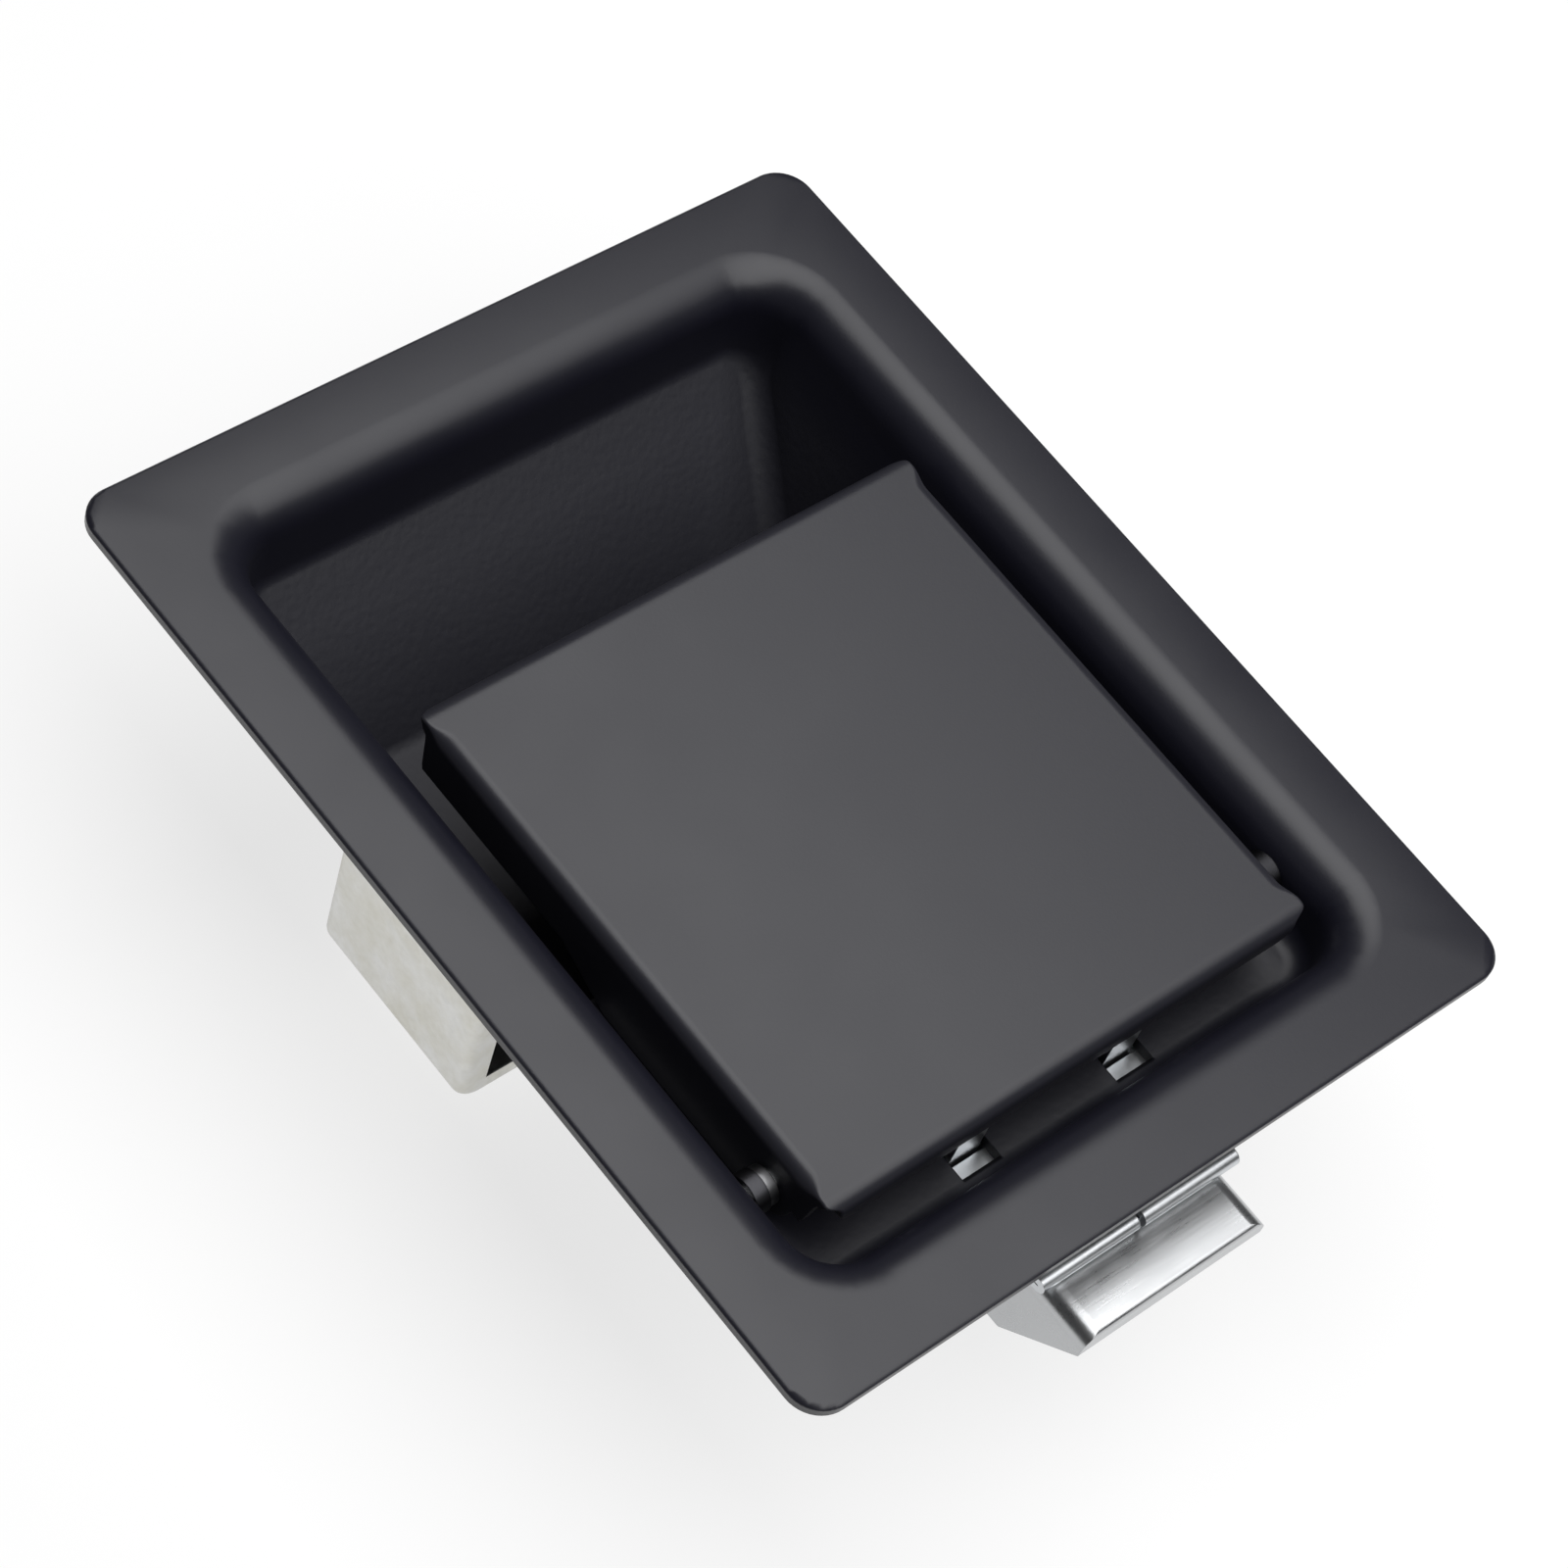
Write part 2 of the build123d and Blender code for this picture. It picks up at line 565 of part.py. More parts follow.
# ------------------------------------------------------------------ bolt: folded nose on a cast slide
def nose_outline(inset):
    """The nose's side outline on Plane.YZ, moved inwards by inset except at its open back."""
    with BuildSketch(Plane.YZ, mode=Mode.PRIVATE) as outline:
        with BuildLine():
            Polyline(
                (bolt_nose_back_y + inset, bolt_top), (bolt_tip_y, bolt_top),
                (bolt_tip_y, bolt_top - bolt_tip_height), (bolt_ramp_foot_y, bolt_bottom),
                (bolt_nose_back_y + inset, bolt_bottom), close=True,
            )
        make_face()
        if inset:
            offset(amount=-inset, kind=Kind.INTERSECTION)
        else:
            fillet(outline.vertices().group_by(Axis.X)[0], radius=bolt_edge_round)
            fillet(outline.vertices().group_by(Axis.Y)[0].group_by(Axis.X)[0], radius=bolt_edge_round)
    return outline.sketch


def nose_form(inset):
    """The nose as a solid with its rounded long edges, every sheet face moved inwards by inset."""
    with BuildPart(mode=Mode.PRIVATE) as form:
        extrude(nose_outline(inset), amount=bolt_width / 2 - inset, both=True)
        with BuildSketch(Plane.XZ.offset(-bolt_nose_back_y)) as section:
            with Locations((0, bolt_top - bolt_height / 2)):
                Rectangle(bolt_width - 2 * inset, bolt_height - 2 * inset)
            fillet(section.vertices().group_by(Axis.Y)[-1], radius=bolt_bend - inset)
        extrude(amount=bolt_nose_back_y - bolt_tip_y, mode=Mode.INTERSECT)
    return form.part


with BuildSketch(Plane.YZ) as bolt_rivet:
    with Locations((bolt_nose_back_y - bolt_rivet_inset, bolt_top - bolt_rivet_drop)):
        Circle(bolt_rivet_diameter / 2)
with BuildPart() as bolt_rivets:
    on_both_ends(bolt_rivet.sketch, bolt_width / 2 - bolt_rivet_length, bolt_width / 2)
write(bolt_rivets.part, "bolt_rivets")

with BuildPart() as bolt_nose:
    add(nose_form(0))
    add(nose_form(bolt_sheet), mode=Mode.SUBTRACT)
    with BuildSketch(Plane.YZ) as cheek_slit:
        add(nose_outline(bolt_sheet))
        add(nose_outline(bolt_sheet + cheek_gap), mode=Mode.SUBTRACT)
        with Locations((bolt_tip_y, bolt_top)):
            Rectangle(4 * bolt_width, 2 * bolt_bend, mode=Mode.SUBTRACT)
    extrude(amount=bolt_width, both=True, mode=Mode.SUBTRACT)
    extrude(bolt_rivet.sketch, amount=bolt_width, both=True, mode=Mode.SUBTRACT)
write(bolt_nose.part, "bolt_nose")

slide_top = bolt_top - bolt_sheet
slide_floor = bolt_bottom + bolt_sheet
insert_half = bolt_width / 2 - bolt_sheet
yoke_rear_y = yoke_front_y + yoke_thickness
with BuildPart() as bolt_slide:
    extrude(nose_outline(bolt_sheet), amount=insert_half, both=True)
    with BuildSketch(Plane.YZ):
        with Locations((slide_insert_front_y - bolt_width / 2, spring_z)):
            Rectangle(bolt_width, 2 * bolt_height)
    extrude(amount=bolt_width, both=True, mode=Mode.SUBTRACT)
    chamfer(bolt_slide.edges().filter_by(Axis.Y).group_by(Axis.Z)[-1], length=bolt_bend - bolt_sheet)
    with BuildSketch(Plane.XY.offset(slide_floor)):
        with Locations((0, (bolt_nose_back_y + slide_rear_y) / 2)):
            Rectangle(spine_width, slide_rear_y - bolt_nose_back_y)
    extrude(amount=slide_top - slide_floor)
    with BuildSketch(Plane.XY.offset(slide_top)):
        with Locations((0, (bolt_nose_back_y + yoke_front_y) / 2)):
            Rectangle(spine_width - 2 * spine_wall, yoke_front_y - bolt_nose_back_y - 2 * spine_wall)
        with Locations((0, (yoke_rear_y + slide_rear_y - slide_rear_plate) / 2)):
            Rectangle(spine_width - 2 * spine_wall, slide_rear_y - slide_rear_plate - yoke_rear_y)
    extrude(amount=slide_floor + spine_wall - slide_top, mode=Mode.SUBTRACT)
    with BuildSketch(Plane.XY.offset(bolt_bottom)):
        with Locations((0, (yoke_front_y + yoke_rear_y) / 2)):
            Rectangle(bolt_width, yoke_thickness)
        with Locations((0, slide_rear_y - slide_rear_plate / 2)):
            Rectangle(bolt_width, slide_rear_plate)
    extrude(amount=bolt_height)
    for side in (1, -1):
        with BuildSketch(Plane.XY.offset(bolt_bottom)):
            with BuildLine():
                Polyline(
                    (side * spine_width / 2, yoke_rear_y), (side * bolt_width / 2, yoke_rear_y),
                    (side * spine_width / 2, yoke_rear_y + slide_rib_run), close=True,
                )
            make_face()
        extrude(amount=slide_rib)
    with BuildSketch(Plane.XZ.offset(-slide_rear_y)):
        with Locations((0, spring_z)):
            with GridLocations(spring_pitch_x, 0, 2, 1):
                Circle(rod_diameter / 2 + rod_hole_play)
    extrude(amount=slide_rear_plate, mode=Mode.SUBTRACT)
    add(bolt_rivets.part, mode=Mode.SUBTRACT)
write(bolt_slide.part, "bolt_slide")

# ------------------------------------------------------------------ bolt springs on their rods
guide_wall_y = guide_rear_y - guide_sheet
spring_length = guide_wall_y - slide_rear_y
for side, spring_name in ((-1, "bolt_spring_left"), (1, "bolt_spring_right")):
    on_rod = Plane((side * spring_pitch_x / 2, slide_rear_y + spring_wire / 2, spring_z),
                   x_dir=(1, 0, 0), z_dir=(0, 1, 0))
    spring_coil = coil_points(spring_length - spring_wire, spring_coil_diameter / 2, spring_turns)
    write(wound_wire([on_rod.from_local_coords(p) for p in spring_coil], spring_wire), spring_name)

with BuildPart() as spring_rods:
    with BuildSketch(Plane.XZ.offset(rod_length - guide_rear_y)):
        with Locations((0, spring_z)):
            with GridLocations(spring_pitch_x, 0, 2, 1):
                Circle(rod_diameter / 2)
    extrude(amount=-rod_length)
    with BuildSketch(Plane.XZ.offset(-guide_rear_y)):
        with Locations((0, spring_z)):
            with GridLocations(spring_pitch_x, 0, 2, 1):
                Circle(rod_head_diameter / 2)
    extrude(amount=-rod_head_height)
write(spring_rods.part, "spring_rods")

# ------------------------------------------------------------------ mounting bracket: cast saddle
bracket_tip_z = -grip
bracket_inner = wall_x(well_back_z, pan_sheet) + bracket_gap
bracket_inner_tip = wall_x(bracket_tip_z, pan_sheet) + bracket_gap


def is_bracket_outside(edge):
    """True for the edges of the saddle's outer profile, not for those of its hollow or its tips."""
    centre = edge.center()
    on_side = abs(centre.X) > bracket_inner_tip + bracket_arm / 2
    on_base = centre.Z < well_back_z - bracket_base / 2
    return centre.Z < bracket_tip_z - bracket_arm and (on_side or on_base)


with BuildPart() as mounting_bracket:
    with BuildSketch(Plane.XZ.offset(-bracket_y)) as saddle:
        with BuildLine():
            Polyline(
                (bracket_inner, well_back_z), (bracket_inner_tip, bracket_tip_z),
                (bracket_inner_tip + bracket_arm, bracket_tip_z),
                (bracket_inner + bracket_arm, well_back_z - bracket_base),
                (-bracket_inner - bracket_arm, well_back_z - bracket_base),
                (-bracket_inner_tip - bracket_arm, bracket_tip_z),
                (-bracket_inner_tip, bracket_tip_z), (-bracket_inner, well_back_z), close=True,
            )
        make_face()
        fillet(saddle.vertices().group_by(Axis.Y)[0], radius=bracket_base_round)
    extrude(amount=bracket_length / 2, both=True)
    for end in (0, -1):
        rim = mounting_bracket.faces().sort_by(Axis.Y)[end].outer_wire().edges()
        fillet(rim.filter_by(is_bracket_outside), radius=bracket_edge_round)
    with BuildSketch(Plane.XY.offset(bracket_under)):
        with Locations((0, bracket_y)):
            Circle(stud_diameter / 2 + stud_hole_play)
    extrude(amount=bracket_base, mode=Mode.SUBTRACT)
    with BuildSketch(Plane.XY.offset(well_back_z)):
        with Locations((0, bracket_y)):
            Circle(stud_weld_diameter / 2 + bracket_recess_play)
    extrude(amount=-stud_weld_height - bracket_recess_play, mode=Mode.SUBTRACT)
write(mounting_bracket.part, "mounting_bracket")

# ------------------------------------------------------------------ weld stud with its washer and nut
washer_under = bracket_under - mount_washer_thickness
nut_under = washer_under - nut_height
with BuildPart() as mount_stud:
    with Locations((0, bracket_y, well_back_z)):
        Cylinder(stud_weld_diameter / 2, stud_weld_height, align=(Align.CENTER, Align.CENTER, Align.MAX))
        Cylinder(stud_diameter / 2, well_back_z - nut_under + stud_end_overhang,
                 align=(Align.CENTER, Align.CENTER, Align.MAX))
    chamfer(mount_stud.edges().group_by(Axis.Z)[0], length=stud_chamfer)
write(mount_stud.part, "mount_stud")

with BuildPart() as mount_washer:
    with BuildSketch(Plane.XY.offset(bracket_under)):
        with Locations((0, bracket_y)):
            Circle(mount_washer_diameter / 2)
            Circle(stud_diameter / 2 + stud_hole_play, mode=Mode.SUBTRACT)
    extrude(amount=-mount_washer_thickness)
write(mount_washer.part, "mount_washer")

with BuildPart() as mount_nut:
    with BuildSketch(Plane.XY.offset(washer_under)):
        with Locations((0, bracket_y)):
            Circle(nut_width / math.sqrt(3))
    extrude(amount=-nut_height)
    chamfer(mount_nut.edges().filter_by(GeomType.CIRCLE), length=nut_chamfer)
    with BuildSketch(Plane.XY.offset(washer_under)):
        with Locations((0, bracket_y)):
            RegularPolygon(nut_width / 2, 6, major_radius=False)
            Circle(stud_diameter / 2 + thread_play, mode=Mode.SUBTRACT)
    extrude(amount=-nut_height, mode=Mode.INTERSECT)
write(mount_nut.part, "mount_nut")
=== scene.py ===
# %% [markdown]
# # A flush paddle latch, dressed for the studio
# The latch comes as a frame of solid pieces, each at its real place and size. This lesson gives
# them their finishes: powder coat on the pan and paddle, bright zinc on the sheet and turned
# pieces, and the dull mottled skin of die casting on the bracket and the bolt's core. It also
# leans the walls of the pan's well, presses soft folds into the paddle and winds the springs from
# round wire, which the frame leaves plainer.

# %% Load the frame
import bmesh
import bpy
import math
from mathutils import Matrix, Vector


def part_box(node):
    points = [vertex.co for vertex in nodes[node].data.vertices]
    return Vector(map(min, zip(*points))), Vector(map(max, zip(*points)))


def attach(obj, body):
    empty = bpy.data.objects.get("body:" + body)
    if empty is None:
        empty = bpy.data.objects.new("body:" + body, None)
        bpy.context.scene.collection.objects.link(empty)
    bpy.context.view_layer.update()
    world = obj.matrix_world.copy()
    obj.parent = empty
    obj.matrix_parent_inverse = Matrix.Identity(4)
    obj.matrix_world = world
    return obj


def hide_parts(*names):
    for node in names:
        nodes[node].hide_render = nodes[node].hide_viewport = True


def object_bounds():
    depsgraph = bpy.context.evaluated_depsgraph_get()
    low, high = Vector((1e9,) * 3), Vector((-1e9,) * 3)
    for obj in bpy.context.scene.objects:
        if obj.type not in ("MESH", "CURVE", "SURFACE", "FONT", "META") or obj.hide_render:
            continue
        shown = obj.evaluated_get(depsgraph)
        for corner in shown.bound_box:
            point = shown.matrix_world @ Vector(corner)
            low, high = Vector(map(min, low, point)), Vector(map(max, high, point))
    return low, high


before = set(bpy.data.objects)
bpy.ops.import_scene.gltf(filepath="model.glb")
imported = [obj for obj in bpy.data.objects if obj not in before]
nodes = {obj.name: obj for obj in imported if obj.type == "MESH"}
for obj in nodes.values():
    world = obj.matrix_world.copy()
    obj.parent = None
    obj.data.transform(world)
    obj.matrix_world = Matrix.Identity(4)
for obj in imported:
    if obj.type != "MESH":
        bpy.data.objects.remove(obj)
cad_box = [list(corner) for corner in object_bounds()]
mm = 0.001
print("nodes:", len(nodes), "latch from", cad_box[0], "to", cad_box[1])

# %% [markdown]
# ## The camera
# The latch lies on a table, propped on its stud and its bolt guide, so it leans. Rather than turn
# the latch, the camera takes the lean: it has an azimuth, an elevation and a roll about its own
# line of sight, and it stands as far off as a product photographer's long lens would.

# %% Place the camera
camera_azimuth = math.radians(-58.66)
camera_elevation = math.radians(53.87)
camera_roll = math.radians(23.34)
camera_distance = 454.75 * mm
camera_aim = Vector((-5.44, -3.91, 1.5)) * mm
camera_lens = 103.67

back = Vector((
    math.sin(camera_azimuth) * math.cos(camera_elevation),
    -math.cos(camera_azimuth) * math.cos(camera_elevation),
    math.sin(camera_elevation),
))
level_right = Vector((math.cos(camera_azimuth), math.sin(camera_azimuth), 0))
level_up = back.cross(level_right)
camera_right = level_right * math.cos(camera_roll) + level_up * math.sin(camera_roll)
camera_up = back.cross(camera_right)

camera_data = bpy.data.cameras.new("camera")
camera_data.lens = camera_lens
camera_data.sensor_width = 36
camera_data.clip_start = 0.01
camera = bpy.data.objects.new("camera", camera_data)
bpy.context.scene.collection.objects.link(camera)
camera.matrix_world = Matrix((
    (camera_right.x, camera_up.x, back.x, 0),
    (camera_right.y, camera_up.y, back.y, 0),
    (camera_right.z, camera_up.z, back.z, 0),
    (0, 0, 0, 1),
))
camera.location = camera_aim + back * camera_distance
bpy.context.scene.camera = camera
print("camera at", [round(c, 4) for c in camera.location])

# %% [markdown]
# ## Writing shaders as sums
# A shader tree is easier to read as arithmetic than as a list of links. `Wire` wraps one output
# socket and adds a Math node for each +, * and /, also where the number comes first. Every
# other node comes from one method, `Finish.node`, which sets the node's own settings first and
# then its sockets.

# %% A small language for shaders
class Wire:
    """One output socket, with arithmetic."""

    def __init__(self, finish, socket):
        self.finish = finish
        self.socket = socket

    def _math(self, operation, a, b):
        return self.finish.node("ShaderNodeMath", {"operation": operation}, {0: a, 1: b})["Value"]

    def __add__(self, other):
        return self._math("ADD", self, other)

    def __radd__(self, other):
        return self._math("ADD", other, self)

    def __mul__(self, other):
        return self._math("MULTIPLY", self, other)

    def __rmul__(self, other):
        return self._math("MULTIPLY", other, self)

    def __truediv__(self, other):
        return self._math("DIVIDE", self, other)

    def __rtruediv__(self, other):
        return self._math("DIVIDE", other, self)


class Outputs:
    """A node's outputs by name, each as a Wire."""

    def __init__(self, finish, node):
        self.finish = finish
        self.node = node

    def __getitem__(self, name):
        return Wire(self.finish, self.node.outputs[name])


class Finish:
    """A material under construction: a Principled BSDF and whatever feeds it."""

    def __init__(self, name, **constants):
        self.material = bpy.data.materials.new(name)
        self.material.use_nodes = True
        self.tree = self.material.node_tree
        self.shader = self.tree.nodes["Principled BSDF"]
        for socket, value in constants.items():
            self.shader.inputs[socket.replace("_", " ")].default_value = value
        self.place = self.node("ShaderNodeTexCoord")["Object"]

    def node(self, kind, settings=None, sockets=None):
        """Adds a node, its settings first and then the values or links of its sockets."""
        made = self.tree.nodes.new(kind)
        for key, value in (settings or {}).items():
            if key == "stops":
                self._set_ramp(made.color_ramp, value)
            else:
                setattr(made, key, value)
        for key, value in (sockets or {}).items():
            if isinstance(value, Wire):
                self.tree.links.new(value.socket, made.inputs[key])
            else:
                made.inputs[key].default_value = value
        return Outputs(self, made)

    @staticmethod
    def _set_ramp(ramp, stops):
        while len(ramp.elements) < len(stops):
            ramp.elements.new(0.5)
        for element, (position, value) in zip(ramp.elements, stops):
            element.position = position
            element.color = (value, value, value, 1) if isinstance(value, float) else (*value, 1)

    def noise(self, size, detail=3.0, roughness=0.55, stretch=(1, 1, 1)):
        """Soft noise whose blobs are about size across, in metres."""
        scaled = self.node("ShaderNodeMapping", {}, {
            "Vector": self.place, "Scale": tuple(s / size for s in stretch),
        })["Vector"]
        return self.node("ShaderNodeTexNoise", {}, {
            "Vector": scaled, "Scale": 1.0, "Detail": detail, "Roughness": roughness,
        })["Fac"]

    def cells(self, size, feature="F1"):
        """Distance to the nearest of many scattered points, about size apart."""
        scaled = self.node("ShaderNodeMapping", {}, {
            "Vector": self.place, "Scale": (1 / size, 1 / size, 1 / size),
        })["Vector"]
        return self.node("ShaderNodeTexVoronoi", {"feature": feature}, {
            "Vector": scaled, "Scale": 1.0,
        })["Distance"]

    def ramp(self, wire, *stops):
        """A value or colour that changes with wire, through (position, value) stops."""
        return self.node("ShaderNodeValToRGB", {"stops": stops}, {"Fac": wire})["Color"]

    def blend(self, share, low, high):
        """A colour between low and high."""
        made = self.node("ShaderNodeMix", {"data_type": "RGBA"}, {0: share})
        for index, colour in ((6, low), (7, high)):
            if isinstance(colour, Wire):
                self.tree.links.new(colour.socket, made.node.inputs[index])
            else:
                made.node.inputs[index].default_value = (*colour, 1)
        return Wire(self, made.node.outputs[2])

    def feed(self, socket, wire):
        """Links a wire to one of the shader's inputs."""
        self.tree.links.new(wire.socket, self.shader.inputs[socket])

    def bump(self, height, depth, normal):
        """Feeds the shader's normal from a height of 0 to 1 that stands for depth metres."""
        sockets = {"Height": height, "Distance": depth, "Strength": 1.0, "Normal": normal}
        self.feed("Normal", self.node("ShaderNodeBump", {}, sockets)["Normal"])

    def rounded(self, radius):
        """A normal that rounds every sharp edge a little, as a press, a mould or paint does."""
        return self.node("ShaderNodeBevel", {"samples": 6}, {"Radius": radius})["Normal"]


print("shader helpers ready")

# %% [markdown]
# ## Powder coat
# The pan and paddle are sprayed with dry powder and baked. The film is a blue-black satin. On
# open faces it is almost smooth; down in the well, where the powder gathers, it dries to a
# leathery skin. One fine noise makes the grain, and scattered cells, faded in with depth, make
# the skin.

# %% Powder coat
def powder_coat(name, grey):
    """Satin powder coat whose leathery skin fades in below the shelf. grey is its colour; the pan's
    lower grey is painted shade.
    """
    coat = Finish(name, Metallic=0.0, IOR=1.5)
    depth = -1 * coat.node("ShaderNodeSeparateXYZ", {}, {0: coat.place})["Z"]
    in_the_well = coat.ramp(depth / (20 * mm), (0.3, 0.0), (0.6, 1.0))
    broad = coat.noise(14 * mm, detail=2)
    fine = coat.noise(0.35 * mm, detail=2)
    skin = coat.cells(0.9 * mm, feature="SMOOTH_F1") * 0.6 + coat.noise(0.8 * mm, detail=2) * 0.4
    lit = tuple(1.3 * grey + tint for tint in (0, 0, 0.006))
    coat.feed("Base Color", coat.blend(broad, (grey, grey, grey + 0.006), lit))
    coat.feed("Roughness", coat.ramp(broad, (0.3, 0.35), (0.7, 0.40)) + in_the_well * 0.25)
    coat.bump(fine * 0.1 + skin * in_the_well, 0.06 * mm, normal=coat.rounded(0.25 * mm))
    return coat.material


# The pan's coat has half the paddle's grey. It is a darker copy of the same paint, painted shade that
# deepens the walls of its well.
shade_darkened_pan_coat = powder_coat("powder coat on the pan, darkened as painted shade", 0.007)
paddle_coat = powder_coat("powder coat on the paddle", 0.014)
print("made", shade_darkened_pan_coat.name, "and", paddle_coat.name)

# %% [markdown]
# ## Zinc plate
# Sheet steel plated with bright zinc looks like a cool, slightly clouded mirror. Rolling leaves
# faint streaks along the sheet, handling leaves a haze, and cut edges catch the light.

# %% Zinc plate
def zinc_plate(name, streaks, dull, tint=(0.66, 0.68, 0.70)):
    """Bright zinc on steel. streaks is the direction in which the sheet was rolled."""
    plate = Finish(name, Metallic=1.0)
    cloud = plate.noise(6 * mm, detail=4)
    lines = plate.noise(0.25 * mm, detail=2, stretch=streaks)
    dark = tuple(0.82 * c for c in tint)
    plate.feed("Base Color", plate.blend(cloud, dark, tint))
    plate.feed("Roughness", plate.ramp(cloud * 0.6 + lines * 0.4, (0.3, dull), (0.75, dull + 0.16)))
    plate.bump(lines, 0.004 * mm, normal=plate.rounded(0.15 * mm))
    return plate.material


sheet_zinc = zinc_plate("zinc on rolled sheet", (1, 0.05, 1), 0.26)
turned_zinc = zinc_plate("zinc on turned steel", (1, 1, 1), 0.2)
bolt_zinc = zinc_plate("zinc on the bolt's nose", (0.05, 1, 1), 0.24, tint=(0.55, 0.56, 0.57))
wire_steel = zinc_plate("zinc on spring wire", (1, 1, 1), 0.28, tint=(0.52, 0.53, 0.55))
# The hinge's spacers and washers sit in the shaded gap beside the paddle. Their near-black steel and
# dim zinc are painted shade.
shade_blackened_steel = zinc_plate("steel blackened as painted shade", (1, 1, 1), 0.3, tint=(0.05, 0.05, 0.055))
shade_dimmed_zinc = zinc_plate("zinc on washers, dimmed as painted shade", (1, 1, 1), 0.25, tint=(0.25, 0.25, 0.26))
print("made zinc finishes")

# %% [markdown]
# ## Die casting
# Die-cast zinc comes out of the mould with a dull skin: pale grey with faint warm and dark
# clouds where the metal met the cold steel, and a pebbled surface.

# %% Cast zinc
def cast_zinc():
    """Bare die-cast zinc with its mottled skin."""
    cast = Finish("die-cast zinc", Metallic=1.0)
    cloud = cast.noise(5 * mm, detail=5, roughness=0.6)
    spots = cast.noise(0.9 * mm, detail=3)
    grain = cast.noise(0.3 * mm, detail=2)
    clouded = cast.ramp(cloud, (0.35, 0.0), (0.65, 1.0))
    base = cast.blend(clouded, (0.68, 0.67, 0.61), (0.80, 0.80, 0.78))
    cast.feed("Base Color", base)
    cast.feed("Roughness", cast.ramp(cloud * 0.5 + spots * 0.5, (0.35, 0.42), (0.65, 0.6)))
    cast.bump(spots * 0.6 + grain * 0.4, 0.04 * mm, normal=cast.rounded(0.35 * mm))
    return cast.material


cast_skin = cast_zinc()
print("made", cast_skin.name)

# %% [markdown]
# ## Each piece gets its finish
# A piece from the frame keeps its shape and takes a new finish in its slot.

# %% Dress the frame's pieces
finish_of = {
    "pan": shade_darkened_pan_coat, "paddle": paddle_coat, "guide_plate": sheet_zinc, "bolt_guide": sheet_zinc,
    "paddle_legs": sheet_zinc, "bolt_nose": bolt_zinc, "bolt_slide": cast_skin,
    "mounting_bracket": cast_skin, "paddle_spring": wire_steel, "bolt_spring_left": wire_steel,
    "bolt_spring_right": wire_steel, "hinge_clips": wire_steel, "hinge_spacers": shade_blackened_steel,
    "hinge_washers": shade_dimmed_zinc,
}
for name, piece in nodes.items():
    piece.data.materials.clear()
    piece.data.materials.append(finish_of.get(name, turned_zinc))
print("dressed", len(nodes), "pieces")

# %% [markdown]
# ## The pan's leaning walls
# A deep-drawn well is narrower at its bottom than at its mouth, or the punch would not come out.
# The frame's pan has only a slight draft, so this copy leans the well's side walls in further,
# the more the deeper they go, and leaves the flange, the lip and the shelf as they are. The
# copy's loose triangles are merged first, and its normals are weighted by face area, so that
# flat faces stay flat beside rounded ones.

# %% Lean the well's walls
weld_distance = 0.001 * mm
shelf_z = -8.6 * mm
wall_lean = 0.24            # how far in, for each millimetre down
wall_from_x = 28 * mm       # the floor and the shelf lie nearer the middle than this


def merged_copy(node_name, piece_name):
    """A copy of a frame piece as one connected mesh, in the scene."""
    shape = bmesh.new()
    shape.from_mesh(nodes[node_name].data)
    bmesh.ops.remove_doubles(shape, verts=shape.verts, dist=weld_distance)
    mesh = bpy.data.meshes.new(piece_name)
    shape.to_mesh(mesh)
    shape.free()
    piece = bpy.data.objects.new(piece_name, mesh)
    bpy.context.scene.collection.objects.link(piece)
    return piece


def smooth_like_sheet(piece, sharp_angle=35):
    """Smooth shading that keeps corners sharper than sharp_angle and flat faces flat."""
    piece.data.shade_smooth()
    piece.data.set_sharp_from_angle(angle=math.radians(sharp_angle))
    weighted = piece.modifiers.new("weighted", "WEIGHTED_NORMAL")
    weighted.keep_sharp = True
    weighted.weight = 100


drawn_pan = merged_copy("pan", "drawn_pan")
for vertex in drawn_pan.data.vertices:
    depth = shelf_z - vertex.co.z
    if depth > 0 and abs(vertex.co.x) > wall_from_x:
        vertex.co.x -= math.copysign(wall_lean * depth, vertex.co.x)
smooth_like_sheet(drawn_pan)
drawn_pan.data.materials.append(shade_darkened_pan_coat)
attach(drawn_pan, "housing")
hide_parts("pan")
print("pan:", len(drawn_pan.data.polygons), "triangles")

# %% [markdown]
# ## The pressed paddle
# The front and the rear of the cover are folded down over their whole width. The folds along its
# sides fade out before they meet them, so each corner keeps a small ear, and the side skirts stop
# short of it. The sheet is made as rows of points: each row runs across the paddle, from the foot
# of one side skirt to the foot of the other and back one sheet further in, and the rows follow
# the outline from the rear skirt, over the cover, to the front skirt.

# %% Press the paddle
sheet = 1.2 * mm
front_skirt, rear_skirt = 6.8 * mm, 3.3 * mm
front_fold, rear_fold, side_fold = 1.9 * mm, 1.8 * mm, 1.7 * mm
smallest_fold = 0.3 * mm                    # what is left of a side's fold at an ear
smallest_inner_fold = 0.05 * mm
fold_fade = 3 * mm                          # a side's fold fades out over this length
skirt_from, skirt_full = 0.2 * mm, 1.2 * mm  # its skirt starts and is whole so far from the ear
ear_cut = 1.6 * mm                          # how far an ear's end is rounded off
front_set_back = 0.8 * mm
pivot_radius = 3.7 * mm
rise_start_y, rise_run = -12 * mm, 8 * mm   # where the side skirts grow shallow
skirt_steps, fold_steps, cover_steps, side_fold_steps = 6, 12, 260, 8
paddle_low, paddle_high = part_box("paddle")
half_width, cover_z = paddle_high[0], paddle_high[2]
rear_y, front_y = paddle_low[1], paddle_high[1] - front_set_back
pin_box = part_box("hinge_pin")
pin_y, pin_z = ((pin_box[0][axis] + pin_box[1][axis]) / 2 for axis in (1, 2))


def smooth_step(value, start, end):
    """0 before start and 1 after end, with a soft change between them."""
    share = min(max((value - start) / (end - start), 0.0), 1.0)
    return share * share * (3 - 2 * share)


